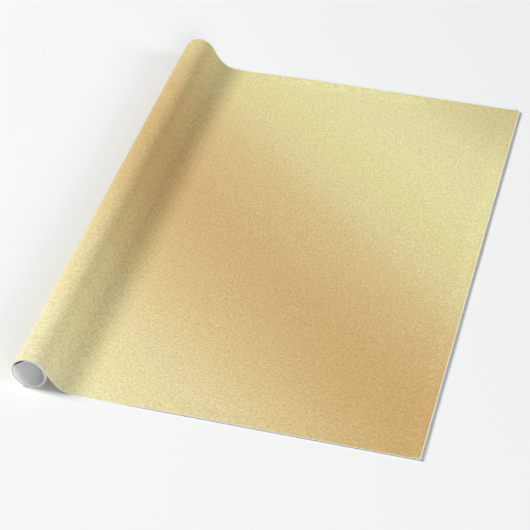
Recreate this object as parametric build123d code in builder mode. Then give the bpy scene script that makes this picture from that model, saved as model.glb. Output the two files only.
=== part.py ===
from build123d import *
import os
from math import cos, radians, sin

# A roll of gift wrap on its board core, partly unrolled onto a table.
# X runs along the laid sheet, away from the roll. Y runs along the roll. Z is up, and the
# table is z = 0. The origin is the centre of the footprint. All sizes are in millimetres.

# The paper web
web_width = 762.0            # 30 inches, which is also the roll's length
ply = 0.3                    # thickness that a single ply is given
sheet_reach = 500.8          # from the roll's axis to the cut leading edge

# The roll
roll_radius = 23.0           # outside of the outermost turn
turn_clearance = 0.3         # between the outermost turn and the turns inside it
wound_wall = 0.95            # all the turns that are still wound, taken together

# The board core, a close fit in the turns, which it can slide out of
core_wall = 0.75
core_clearance = 0.3         # all round, between the core and the turns

# The bend in which the paper leaves the roll and comes down to the table. A slope is the
# paper's direction below the horizontal, in degrees.
inner_end_angle = 12.0       # where the outermost turn dives under the bend, from +X
leaving_slope = 40.0         # where the paper springs off the roll
steepest_slope = 66.0
landing_slope = 46.0         # where the last, tighter curve begins
shoulder_radius = 32.0
landing_radius = 32.0

# The laid sheet. Its front part moves when the paper is pulled or wound back.
rewind_travel = 280.0        # length that can be wound back onto the roll
front_gap = 0.3              # between the two parts of the sheet

# Places that follow from the sizes above
axis_x = (roll_radius - sheet_reach) / 2
axis_z = roll_radius
leading_x = axis_x + sheet_reach
wound_radius = roll_radius - ply - turn_clearance
wound_inner_radius = wound_radius - wound_wall
core_radius = wound_inner_radius - core_clearance
core_bore_radius = core_radius - core_wall


def drop(radius, upper_slope, lower_slope):
    """The height that a curve of this radius takes up between two slopes."""
    return radius * abs(cos(radians(upper_slope)) - cos(radians(lower_slope)))


# The long middle curve of the bend takes up the height that the others leave.
spring_height = axis_z + roll_radius * cos(radians(leaving_slope))
middle_drop = spring_height - ply
middle_drop -= drop(shoulder_radius, leaving_slope, steepest_slope)
middle_drop -= drop(landing_radius, landing_slope, 0)
middle_radius = middle_drop / drop(1, steepest_slope, landing_slope)

# The outermost turn and the bend: one ply, drawn along its printed face from the end that
# is tucked in, clockwise round the roll, off its shoulder and down onto the table.
turn_sweep = inner_end_angle + 360 - (90 - leaving_slope)
turn_start = (
    axis_x + roll_radius * cos(radians(inner_end_angle)),
    axis_z + roll_radius * sin(radians(inner_end_angle)),
)
turn_direction = (sin(radians(inner_end_angle)), -cos(radians(inner_end_angle)))
with BuildPart() as outer_turn:
    with BuildSketch(Plane.XZ):
        with BuildLine():
            turn = JernArc(turn_start, turn_direction, roll_radius, -turn_sweep)
            shoulder = JernArc(turn @ 1, turn % 1, shoulder_radius, leaving_slope - steepest_slope)
            slope = JernArc(shoulder @ 1, shoulder % 1, middle_radius, steepest_slope - landing_slope)
            landing = JernArc(slope @ 1, slope % 1, landing_radius, landing_slope)
            offset(amount=ply, side=Side.RIGHT)
        make_face()
    extrude(amount=web_width / 2, both=True)
outer_turn.part.label = "outer_turn"

# The laid sheet behind its front part: the stretch that lengthens as the paper is pulled
# and shortens as it is wound back.
foot_x = (landing @ 1).X
split_x = foot_x + rewind_travel
with BuildPart() as laid_sheet:
    with BuildSketch(Plane.XY):
        with Locations(((foot_x + split_x) / 2, 0)):
            Rectangle(split_x - foot_x, web_width)
    extrude(amount=ply)
laid_sheet.part.label = "laid_sheet"

# The front part of the sheet, up to its cut leading edge
front_x = split_x + front_gap
with BuildPart() as sheet_front:
    with BuildSketch(Plane.XY):
        with Locations(((front_x + leading_x) / 2, 0)):
            Rectangle(leading_x - front_x, web_width)
    extrude(amount=ply)
sheet_front.part.label = "sheet_front"

# The turns of paper still wound on the roll, as one hollow bundle
with BuildPart() as wound_paper:
    with BuildSketch(Plane.XZ):
        with Locations((axis_x, axis_z)):
            Circle(wound_radius)
            Circle(wound_inner_radius, mode=Mode.SUBTRACT)
    extrude(amount=web_width / 2, both=True)
wound_paper.part.label = "wound_paper"

# The board core, a plain tube on the roll's axis
with BuildPart() as core_tube:
    with BuildSketch(Plane.XZ):
        with Locations((axis_x, axis_z)):
            Circle(core_radius)
            Circle(core_bore_radius, mode=Mode.SUBTRACT)
    extrude(amount=web_width / 2, both=True)
core_tube.part.label = "core_tube"

os.makedirs("parts", exist_ok=True)
export_step(outer_turn.part, "parts/outer_turn.step")
export_step(laid_sheet.part, "parts/laid_sheet.step")
export_step(sheet_front.part, "parts/sheet_front.step")
export_step(wound_paper.part, "parts/wound_paper.step")
export_step(core_tube.part, "parts/core_tube.step")

paper_path = sum(arc.length for arc in (turn, shoulder, slope, landing))
print(f"roll axis x {axis_x:.3f}  z {axis_z:.3f}   core bore radius {core_bore_radius:.3f}")
print(f"foot x {foot_x:.3f}  split x {split_x:.3f}  leading edge x {leading_x:.3f}")
print(f"middle radius {middle_radius:.2f}  outer turn and bend {paper_path:.1f} long")
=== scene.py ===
from math import ceil, cos, hypot, pi, radians, sin

import bmesh
import bpy
from mathutils import Matrix, Quaternion, Vector


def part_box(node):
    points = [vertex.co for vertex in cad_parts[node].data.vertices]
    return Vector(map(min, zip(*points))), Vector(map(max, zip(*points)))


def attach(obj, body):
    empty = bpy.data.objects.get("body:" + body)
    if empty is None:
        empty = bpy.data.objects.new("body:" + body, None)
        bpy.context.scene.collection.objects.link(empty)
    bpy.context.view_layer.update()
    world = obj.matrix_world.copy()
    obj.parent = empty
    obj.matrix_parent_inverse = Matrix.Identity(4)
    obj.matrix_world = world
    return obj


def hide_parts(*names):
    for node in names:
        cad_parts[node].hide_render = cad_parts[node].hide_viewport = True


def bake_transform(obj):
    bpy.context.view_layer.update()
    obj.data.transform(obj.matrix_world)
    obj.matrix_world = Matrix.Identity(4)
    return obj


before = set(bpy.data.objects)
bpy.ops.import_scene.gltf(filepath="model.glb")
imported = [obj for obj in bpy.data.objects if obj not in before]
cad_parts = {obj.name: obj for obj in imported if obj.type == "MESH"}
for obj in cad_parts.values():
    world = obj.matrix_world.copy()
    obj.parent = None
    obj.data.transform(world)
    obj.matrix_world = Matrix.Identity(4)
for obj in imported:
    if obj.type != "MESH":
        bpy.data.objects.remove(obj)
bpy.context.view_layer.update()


# Camera. A long lens, two and a half metres away, looks down over the near, cut end of the
# sheet and along the roll.
camera_place = Vector((0.4955, -2.0148, 1.6538))
camera_aim = Vector((-0.0152, -0.0698, 0.0005))
camera_roll = radians(0.264)
camera_lens = 130.15

camera_data = bpy.data.cameras.new("camera")
camera_data.sensor_width = 36.0
camera_data.lens = camera_lens
camera = bpy.data.objects.new("camera", camera_data)
bpy.context.scene.collection.objects.link(camera)
camera.rotation_mode = "QUATERNION"
camera.location = camera_place
facing = (camera_aim - camera_place).to_track_quat("-Z", "Y")
camera.rotation_quaternion = facing @ Quaternion((0, 0, 1), camera_roll)
bpy.context.scene.camera = camera


# Table and light. A pale matt table top in a dim white room. A tall strip lamp on the left
# shades the bend; two low broad ones, in front and on the right, fill the open end of the roll.
class Reading:
    """A value or colour read at each point of a surface. Sums on values add Math nodes."""

    def __init__(self, finish, socket):
        self.finish = finish
        self.socket = socket

    def sum(self, operation, first, second):
        return self.finish.node("ShaderNodeMath", {"operation": operation}, {0: first, 1: second})

    def __add__(self, other):
        return self.sum("ADD", self, other)

    def __sub__(self, other):
        return self.sum("SUBTRACT", self, other)

    def __rsub__(self, other):
        return self.sum("SUBTRACT", other, self)

    def __mul__(self, other):
        return self.sum("MULTIPLY", self, other)

    def __truediv__(self, other):
        return self.sum("DIVIDE", self, other)

    def __abs__(self):
        return self.sum("ABSOLUTE", self, 0.0)

    def above(self, limit):
        return self.sum("GREATER_THAN", self, limit)

    def either(self, other):
        return self.sum("MAXIMUM", self, other)

    __radd__ = __add__
    __rmul__ = __mul__


class Finish:
    """A material in the making: one shader, and the nodes that feed it."""

    def __init__(self, name, **constants):
        self.material = bpy.data.materials.new(name)
        self.material.use_nodes = True
        self.tree = self.material.node_tree
        self.shader = self.tree.nodes["Principled BSDF"]
        for socket, value in constants.items():
            self.feed(self.shader.inputs[socket.replace("_", " ")], value)

    def feed(self, socket, value):
        if isinstance(value, Reading):
            self.tree.links.new(value.socket, socket)
        else:
            socket.default_value = value

    def node(self, kind, settings, sockets, output=0):
        made = self.tree.nodes.new(kind)
        for name, value in settings.items():
            if name == "stops":
                ramp = made.color_ramp
                ramp.elements[0].position, ramp.elements[0].color = value[0]
                ramp.elements[1].position, ramp.elements[1].color = value[-1]
                for place, colour in value[1:-1]:
                    ramp.elements.new(place).color = colour
            else:
                setattr(made, name, value)
        for name, value in sockets.items():
            self.feed(made.inputs[name], value)
        return Reading(self, made.outputs[output])

    def tint(self, colour, strength):
        """The colour, made lighter or darker by a value near 1."""
        return self.node("ShaderNodeVectorMath", {"operation": "SCALE"}, {0: colour, "Scale": strength})

    def between(self, share, first, second):
        """From the first colour to the second, by a value from 0 to 1."""
        return self.node("ShaderNodeMix", {"data_type": "RGBA"}, {0: share, 6: first, 7: second}, 2)

    def noise(self, place, scale, detail):
        return self.node("ShaderNodeTexNoise", {}, {"Vector": place, "Scale": scale, "Detail": detail})

    def place(self, stretch=(1.0, 1.0, 1.0)):
        """Where the point is on the piece, in metres, with each axis stretched."""
        here = self.node("ShaderNodeTexCoord", {}, {}, 3)
        return self.node("ShaderNodeMapping", {}, {"Vector": here, "Scale": stretch})

    def relief(self, height, depth):
        self.feed(
            self.shader.inputs["Normal"],
            self.node("ShaderNodeBump", {}, {"Height": height, "Distance": depth}),
        )

    def colour(self, reading):
        self.feed(self.shader.inputs["Base Color"], reading)


def printed(code):
    """A hex colour of the finished print as the shader's linear values."""
    levels = [int(code[n : n + 2], 16) / 255 for n in (0, 2, 4)]
    linear = [s / 12.92 if s <= 0.04045 else ((s + 0.055) / 1.055) ** 2.4 for s in levels]
    return (*linear, 1.0)


table_reach = 6.0
table_white = (0.787, 0.800, 0.795, 1.0)
lamp_distance = 9.0
room_light = 0.10
backdrop_light = 0.87
# Each lamp: its elevation and its turn from +X in degrees, its width and height in metres,
# and the share of the table's light that it gives
lamps = {
    "left_lamp": (43, 178, 1.5, 3.7, 0.74),
    "front_lamp": (24, -66, 3.2, 3.2, 0.16),
    "right_lamp": (25, -10, 3.2, 3.2, 0.17),
}

table_mesh = bmesh.new()
bmesh.ops.create_grid(table_mesh, x_segments=1, y_segments=1, size=table_reach)
table_data = bpy.data.meshes.new("table_top")
table_mesh.to_mesh(table_data)
table_mesh.free()
table = bpy.data.objects.new("table_top", table_data)
bpy.context.scene.collection.objects.link(table)
table_finish = Finish(
    "matt_table", Base_Color=table_white, Roughness=0.9, Specular_IOR_Level=0.0
)
table_data.materials.append(table_finish.material)

for name, (elevation, turn, width, height, light) in lamps.items():
    elevation, turn = radians(elevation), radians(turn)
    away = Vector((cos(elevation) * cos(turn), cos(elevation) * sin(turn), sin(elevation)))
    lamp_data = bpy.data.lights.new(name, "AREA")
    lamp_data.shape = "RECTANGLE"
    lamp_data.size = width
    lamp_data.size_y = height
    lamp_data.energy = light * (pi * lamp_distance) ** 2 / sin(elevation)
    lamp = bpy.data.objects.new(name, lamp_data)
    bpy.context.scene.collection.objects.link(lamp)
    lamp.location = lamp_distance * away
    lamp.rotation_mode = "QUATERNION"
    lamp.rotation_quaternion = (-away).to_track_quat("-Z", "Y")

room = bpy.data.worlds.new("white_room")
room.use_nodes = True
background = room.node_tree.nodes["Background"]
background.inputs["Color"].default_value = (1.0, 1.0, 1.0, 1.0)
# The wall behind the table looks as pale as the table, though the room adds little light.
seen = room.node_tree.nodes.new("ShaderNodeLightPath")
brightness = room.node_tree.nodes.new("ShaderNodeMix")
brightness.inputs["A"].default_value = room_light
brightness.inputs["B"].default_value = backdrop_light
room.node_tree.links.new(seen.outputs["Is Camera Ray"], brightness.inputs["Factor"])
room.node_tree.links.new(brightness.outputs["Result"], background.inputs["Strength"])
bpy.context.scene.world = room
bpy.context.scene.view_settings.view_transform = "Standard"


# Board core. A tube of grey board with a white lining, wound in a spiral from strips that
# meet edge to edge, so a shallow seam runs round it. The grey of its outside is partly the
# board's own colour and partly painted shade for the narrow gap between the core and the
# turns. It slides in the turns. Its near end is dented.
core_low, core_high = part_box("core_tube")
core_axis = (core_low + core_high) / 2
core_radius = (core_high.z - core_low.z) / 2
core_half_length = core_high.y
core_wall = 0.00075
core_sides = 96
seam_lead = 0.150
seam_steps = 48
seam_depth = 0.00012
board_edge_round = 0.00015
dent_angle = radians(127)
dent_depth = 0.0026
dent_length = 0.160


def shown(name, mesh, *finishes):
    """A finished mesh as an object of the scene, smooth except at its cut edges."""
    data = bpy.data.meshes.new(name)
    mesh.to_mesh(data)
    mesh.free()
    data.shade_smooth()
    data.set_sharp_from_angle(angle=radians(40))
    for finish in finishes:
        data.materials.append(finish.material)
    piece = bpy.data.objects.new(name, data)
    bpy.context.scene.collection.objects.link(piece)
    return piece


def grow(mesh, row):
    """Extends an open row of edges by one step: the new vertices and the new row."""
    made = bmesh.ops.extrude_edge_only(mesh, edges=row)["geom"]
    verts = [part for part in made if isinstance(part, bmesh.types.BMVert)]
    fresh = set(verts)
    edges = [part for part in made if isinstance(part, bmesh.types.BMEdge)]
    return verts, [edge for edge in edges if fresh.issuperset(edge.verts)]


def smooth(share):
    share = min(max(share, 0.0), 1.0)
    return share * share * (3 - 2 * share)


core_mesh = bmesh.new()
seam = core_mesh.verts.layers.float.new("seam")
stand_up = Matrix.Rotation(radians(90), 4, "X")
ring = bmesh.ops.create_circle(core_mesh, segments=core_sides, radius=core_radius, matrix=stand_up)
bmesh.ops.translate(core_mesh, verts=ring["verts"], vec=(core_axis.x, -core_half_length, core_axis.z))
core_mesh.verts.ensure_lookup_table()
core_mesh.verts[0][seam] = 1.0
row = core_mesh.edges[:]
step_count = ceil(2 * core_half_length / (seam_lead / seam_steps))
step_length = 2 * core_half_length / step_count
step_turn = 2 * pi * step_length / seam_lead
for _ in range(step_count):
    verts, row = grow(core_mesh, row)
    bmesh.ops.translate(core_mesh, verts=verts, vec=(0, step_length, 0))
    bmesh.ops.rotate(
        core_mesh, verts=verts, cent=core_axis, matrix=Matrix.Rotation(step_turn, 3, "Y")
    )
bmesh.ops.recalc_face_normals(core_mesh, faces=core_mesh.faces)
for vert in core_mesh.verts:
    if vert[seam] > 0.5:
        outward = Vector((vert.co.x - core_axis.x, 0, vert.co.z - core_axis.z)).normalized()
        vert.co -= outward * seam_depth
# The dent is a flat on the upper left of the near end, which fades out along the tube.
dent_way = Vector((cos(dent_angle), 0, sin(dent_angle)))
for vert in core_mesh.verts:
    fade = smooth(1 - (vert.co.y + core_half_length) / dent_length)
    flat = core_radius - dent_depth * fade
    past = (vert.co - core_axis).dot(dent_way) - flat
    if past > 0:
        vert.co -= dent_way * past
# The wall goes inwards from the outside: 0 is the white lining and the ends, 1 the grey outside.
outer_side = set(core_mesh.verts)
bmesh.ops.solidify(core_mesh, geom=core_mesh.faces[:], thickness=core_wall)
for face in core_mesh.faces:
    face.material_index = 1 if outer_side.issuperset(face.verts) else 0
rims = [
    edge
    for edge in core_mesh.edges
    if all(abs(vert.co.y) > core_half_length - 1e-6 for vert in edge.verts)
    and edge.calc_face_angle(0) > radians(60)
]
bmesh.ops.bevel(
    core_mesh, geom=rims, offset=board_edge_round, segments=2, profile=0.5, affect="EDGES", material=-1
)

def rolled_board(name, shade):
    """Board with short fibres that run round the tube, darker along the seam."""
    board = Finish(name, Roughness=0.85, Specular_IOR_Level=0.2)
    fibres = board.noise(board.place((1.0, 0.25, 1.0)), 2600.0, 3.0)
    pulp = board.noise(board.place(), 160.0, 4.0)
    seam_line = board.node("ShaderNodeAttribute", {"attribute_name": "seam"}, {}, 2)
    strength = 1.0 + (fibres - 0.5) * 0.14 + (pulp - 0.5) * 0.12 - seam_line * 0.22
    board.colour(board.tint(shade, strength))
    board.relief(fibres + pulp * 2.0, 0.00006)
    return board


white_lining = rolled_board("white_lining", (0.91, 0.91, 0.91))
# The outside's grey is partly board colour, partly painted shade darkening the gap under the turns.
grey_board_and_gap_shade = rolled_board("grey_board_and_gap_shade", (0.40, 0.38, 0.36))
core = shown("board_core", core_mesh, white_lining, grey_board_and_gap_shade)
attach(core, "core")
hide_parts("core_tube")


# Wound turns. The rest of the paper, white on its back, still wound on the roll: one long
# strip, nearly nine turns, whose edges show as thin white rings at the ends of the roll.
wound_low, wound_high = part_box("wound_paper")
axis = (wound_low + wound_high) / 2
half_width = wound_high.y
roll_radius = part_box("outer_turn")[1].z / 2
tucked_angle = radians(12)
turn_gap = 0.00035
turn_pitch = 0.000109
turn_steps = 72
turns_left = 8.6
wound_ply = 0.00008
edge_strip = 0.030
wound_cuts = (3, 12)
end_wander = 0.0004
# How the cut ends of the turns wander: each part's share, its rate per turn, and its start
slow_wander = (0.6, 2.4, 0.0)
quick_wander = (0.4, 5.3, 1.1)


def across(mesh, place, cuts):
    """A row of edges across the web, cut more closely in a strip along each side."""
    stops = (-half_width, edge_strip - half_width, half_width - edge_strip, half_width)
    posts = [mesh.verts.new((place.x, y, place.z)) for y in stops]
    spans = [mesh.edges.new(pair) for pair in zip(posts, posts[1:])]
    for span, cut in zip(spans, (cuts[0], cuts[1], cuts[0])):
        bmesh.ops.subdivide_edges(mesh, edges=[span], cuts=cut)
    return mesh.edges[:]


def two_faced(mesh, ply):
    """Gives the web its thickness, inwards from the print: 0 print, 1 white back, 2 cut edge."""
    print_side = set(mesh.verts)
    front = set(mesh.faces)
    bmesh.ops.solidify(mesh, geom=mesh.faces[:], thickness=ply)
    for face in mesh.faces:
        if face not in front:
            face.material_index = 2 if print_side.intersection(face.verts) else 1


def map_web(mesh, layer, shift):
    """A flat map of the web, in metres: along it from the roll's axis, and across it."""
    flat_map = mesh.loops.layers.uv.new("web")
    for face in mesh.faces:
        for loop in face.loops:
            loop[flat_map].uv = (loop.vert[layer] + shift, loop.vert.co.y)


wound_mesh = bmesh.new()
along = wound_mesh.verts.layers.float.new("along")
first_radius = roll_radius - turn_gap
start = axis + first_radius * Vector((cos(tucked_angle), 0, sin(tucked_angle)))
row = across(wound_mesh, start, wound_cuts)
spiral_turn = 2 * pi / turn_steps
spiral_rows = round(turns_left * turn_steps)
radius = first_radius
for step in range(1, spiral_rows + 1):
    verts, row = grow(wound_mesh, row)
    smaller = radius - turn_pitch / turn_steps
    # The strip goes on into the roll the other way round from the outermost turn.
    matrix = (
        Matrix.Translation(axis)
        @ Matrix.Rotation(-spiral_turn, 4, "Y")
        @ Matrix.Diagonal((smaller / radius, 1, smaller / radius, 1))
        @ Matrix.Translation(-axis)
    )
    bmesh.ops.transform(wound_mesh, verts=verts, matrix=matrix)
    for vert in verts:
        vert[along] -= radius * spiral_turn
    radius = smaller
for vert in wound_mesh.verts:
    turn_number = -vert[along] / (2 * pi * first_radius)
    for share, rate, start_at in (slow_wander, quick_wander):
        vert.co.y += end_wander * share * sin(rate * turn_number + start_at)
bmesh.ops.reverse_faces(wound_mesh, faces=wound_mesh.faces)
two_faced(wound_mesh, wound_ply)
map_web(wound_mesh, along, 0.0)

side_border = 0.0004
front_border = 0.0007
sheet_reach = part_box("sheet_front")[1].x - axis.x
paper_share = 0.872
# A point on the brownish band's middle line, and how far the line goes towards -Y for each
# metre of reach; then the band's half width, and where along it the band starts to deepen and ends
band_reach = 0.0764
band_side = 0.060
band_slant = 0.91
band_half_width = 0.20
band_deepens = (0.05, 0.65)
gold_bands = (
    (-0.417, "ECE5BA"),
    (-0.325, "EBE2B2"),
    (-0.270, "E9DBA5"),
    (-0.204, "E2D2A0"),
    (-0.150, "DDC790"),
    (-0.093, "D7BC85"),
    (-0.038, "D3B57F"),
    (0.010, "D2B37D"),
    (0.073, "D5B983"),
    (0.128, "D8C18B"),
    (0.184, "DED099"),
    (0.239, "E2D89D"),
    (0.320, "E4DEA6"),
    (0.400, "E2DBA3"),
    (0.446, "DACF99"),
    (0.502, "D1C591"),
)
band_start = 0.450


def gold_print():
    """Matt gold ink: a brownish band runs aslant between two pale ones, under a fine grain."""
    gold = Finish("gold_print", Specular_IOR_Level=0.05)
    web = gold.node("ShaderNodeUVMap", {"uv_map": "web"}, {})
    reach = gold.node("ShaderNodeSeparateXYZ", {}, {0: web}, 0)
    side = gold.node("ShaderNodeSeparateXYZ", {}, {0: web}, 1)
    length = hypot(band_slant, 1.0)
    past_reach = reach - band_reach
    past_side = side - band_side
    aslant = (past_reach * band_slant + past_side) / length
    stops = [
        (place + band_start, tuple(paper_share * level for level in printed(code)[:3]) + (1.0,))
        for place, code in gold_bands
    ]
    hue = gold.node("ShaderNodeValToRGB", {"stops": stops}, {0: aslant + band_start})
    down_band = (past_reach - past_side * band_slant) / length
    along_band = gold.node(
        "ShaderNodeMapRange",
        {"interpolation_type": "SMOOTHSTEP"},
        {"Value": down_band, "From Min": band_deepens[0], "From Max": band_deepens[1]},
    )
    in_band = gold.node(
        "ShaderNodeMapRange",
        {"interpolation_type": "SMOOTHSTEP"},
        {"Value": abs(aslant), "From Min": band_half_width, "From Max": 0.0},
    )
    deeper = gold.node(
        "ShaderNodeMix",
        {"data_type": "RGBA", "blend_type": "MULTIPLY"},
        {0: along_band * in_band, 6: hue, 7: (0.95, 0.90, 0.83, 1.0)},
        2,
    )
    grain = gold.noise(gold.place(), 300.0, 2.0)
    cloud = gold.noise(gold.place(), 55.0, 3.0)
    # Sparse tiny flecks that lighten the ink's colour: painted glints.
    painted_glint = gold.noise(gold.place(), 900.0, 0.0).above(0.80)
    strength = 1.0 + (grain - 0.5) * 0.70 + (cloud - 0.5) * 0.07 + painted_glint * 0.10
    inked = gold.tint(deeper, strength)
    bare = abs(side).above(half_width - side_border)
    bare_front = reach.above(sheet_reach - front_border)
    gold.colour(gold.between(bare.either(bare_front), inked, (0.90, 0.88, 0.83, 1.0)))
    gold.feed(gold.shader.inputs["Roughness"], 0.55 + grain * 0.14)
    gold.relief(grain, 0.00003)
    return gold


def bare_paper(name, shade):
    """Uncoated white paper, with faint fibres."""
    paper = Finish(name, Roughness=0.85, Specular_IOR_Level=0.2)
    fibre = paper.noise(paper.place((1.0, 0.35, 1.0)), 1500.0, 3.0)
    clump = paper.noise(paper.place(), 180.0, 3.0)
    paper.colour(paper.tint(shade, 1.0 + (fibre - 0.5) * 0.08 + (clump - 0.5) * 0.05))
    paper.relief(fibre, 0.00002)
    return paper


web_finishes = (
    gold_print(),
    bare_paper("white_back", (0.86, 0.86, 0.86)),
    bare_paper("cut_edge", (0.92, 0.91, 0.89)),
)
wound = shown("wound_turns", wound_mesh, *web_finishes)
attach(wound, "wound_roll")
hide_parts("wound_paper")


# Gift wrap sheet. The outermost turn of the paper and all that is pulled off: it springs from
# the shoulder of the roll, bends back and lies on the table, its cut edges curled up a little.
sheet_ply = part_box("laid_sheet")[1].z
leading_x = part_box("sheet_front")[1].x
leaving_slope = radians(40)
steepest_slope = radians(66)
landing_slope = radians(46)
shoulder_radius = 0.032
landing_radius = 0.032
bend_step = radians(3)
sheet_cuts = (9, 32)
foot_length = 0.040
front_length = 0.032
foot_rows, middle_rows, front_rows = 8, 40, 10
near_curl = 0.0014
far_curl = 0.0020
front_curl = 0.0034
curl_width = 0.025
curl_ramp = (0.012, 0.130)
ripple_height = 0.0003
ripple_rate = 31.0
ripple_start = 0.6


def outward(slope):
    """Straight out from the print where the paper falls at this slope."""
    return Vector((sin(slope), 0, cos(slope)))


def bend(mesh, row, centre, sweep):
    """Carries the row of edges round a centre, over the roll for a positive sweep."""
    radius = (row[0].verts[0].co - centre).xz.length
    steps = ceil(abs(sweep) / bend_step)
    for _ in range(steps):
        verts, row = grow(mesh, row)
        turn = Matrix.Rotation(sweep / steps, 3, "Y")
        bmesh.ops.rotate(mesh, verts=verts, cent=centre, matrix=turn)
        for vert in verts:
            vert[along] += radius * abs(sweep) / steps
    return row


# The long middle curve takes up the height that the other curves leave.
fall = roll_radius * (1 + cos(leaving_slope)) - sheet_ply
fall -= shoulder_radius * (cos(leaving_slope) - cos(steepest_slope))
fall -= landing_radius * (1 - cos(landing_slope))
middle_radius = fall / (cos(landing_slope) - cos(steepest_slope))

sheet_mesh = bmesh.new()
along = sheet_mesh.verts.layers.float.new("along")
tucked_slope = radians(90) - tucked_angle
row = across(sheet_mesh, axis + roll_radius * outward(tucked_slope), sheet_cuts)
row = bend(sheet_mesh, row, axis, 2 * pi - tucked_slope + leaving_slope)
here = axis + roll_radius * outward(leaving_slope)
centre = here - shoulder_radius * outward(leaving_slope)
row = bend(sheet_mesh, row, centre, steepest_slope - leaving_slope)
here = centre + shoulder_radius * outward(steepest_slope)
centre = here + middle_radius * outward(steepest_slope)
row = bend(sheet_mesh, row, centre, landing_slope - steepest_slope)
here = centre - middle_radius * outward(landing_slope)
centre = here + landing_radius * outward(landing_slope)
row = bend(sheet_mesh, row, centre, -landing_slope)
foot_x = centre.x
flat_length = leading_x - foot_x
stretches = (
    (foot_length, foot_rows),
    (flat_length - foot_length - front_length, middle_rows),
    (front_length, front_rows),
)
for length, count in stretches:
    for _ in range(count):
        verts, row = grow(sheet_mesh, row)
        bmesh.ops.translate(sheet_mesh, verts=verts, vec=(length / count, 0, 0))
        for vert in verts:
            vert[along] += length / count
web_length = row[0].verts[0][along]
for vert in sheet_mesh.verts:
    past_foot = vert.co.x - foot_x
    if past_foot > 0 and vert.co.z < 2 * sheet_ply:
        side_curl = near_curl if vert.co.y < 0 else far_curl
        at_side = side_curl * smooth(1 - (half_width - abs(vert.co.y)) / curl_width)
        at_front = front_curl * smooth(1 - (leading_x - vert.co.x) / curl_width)
        settled = smooth((past_foot - curl_ramp[0]) / (curl_ramp[1] - curl_ramp[0]))
        ripple = 0.5 + 0.5 * sin(ripple_rate * vert.co.y + ripple_start)
        vert.co.z += settled * (max(at_side, at_front) + ripple_height * ripple)
two_faced(sheet_mesh, sheet_ply)
map_web(sheet_mesh, along, sheet_reach - web_length)

sheet = shown("gift_wrap_sheet", sheet_mesh, *web_finishes)
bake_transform(sheet)
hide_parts("outer_turn", "laid_sheet", "sheet_front")
